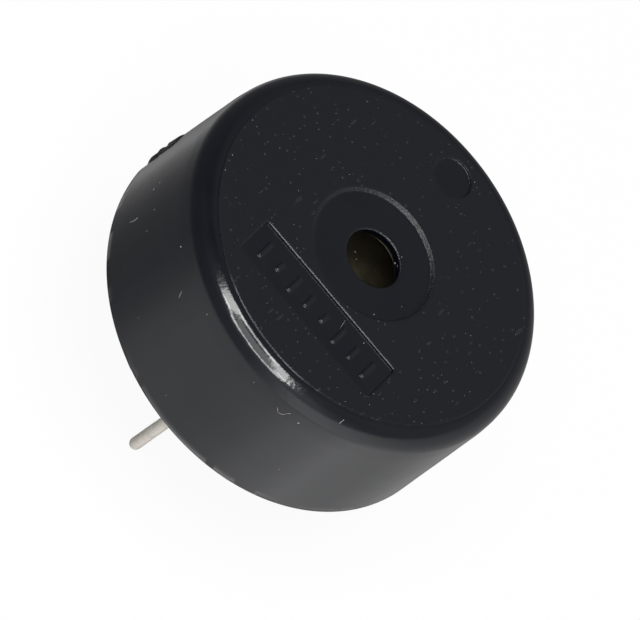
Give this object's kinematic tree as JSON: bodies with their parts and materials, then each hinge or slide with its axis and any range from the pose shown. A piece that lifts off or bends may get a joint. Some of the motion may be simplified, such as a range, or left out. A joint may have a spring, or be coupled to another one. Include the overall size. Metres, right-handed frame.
{
  "type": "piezo element",
  "caption": "Round black pin-mounted piezo transducer with a rounded front edge, a grained face, a central sound port in a shallow recess and straight round solder pins.",
  "frame": {"origin": "centre of the case's rear rim, which seats on the circuit board", "axes": "+Z along the case's axis towards the sound port; the pins point down -Z from the Y axis; +Y is the side of the small round witness mark, -Y that of the marking panel, and the torn gate is on -X"},
  "size_m": [0.0222, 0.022, 0.0159],
  "materials": {
    "case_plastic": "satin",
    "base_plastic": "satin",
    "epoxy": "gloss",
    "brass": "satin",
    "piezo_ceramic": "matte",
    "silver": "matte",
    "silicone": "satin",
    "tinned_wire": "satin",
    "lead_insulation": "satin",
    "solder": "satin"
  },
  "bodies": {
    "root": {"case": "case_plastic", "base_plate": "base_plastic", "rear_seal": "epoxy", "brass_plate": "brass", "ceramic_disc": "piezo_ceramic", "silver_electrode": "silver", "diaphragm_glue": "silicone", "plate_pin": "tinned_wire", "plate_lead": "lead_insulation", "plate_solder": "solder", "plate_pin_solder": "solder", "electrode_pin": "tinned_wire", "electrode_lead": "lead_insulation", "electrode_solder": "solder", "electrode_pin_solder": "solder"}
  },
  "joints": []
}
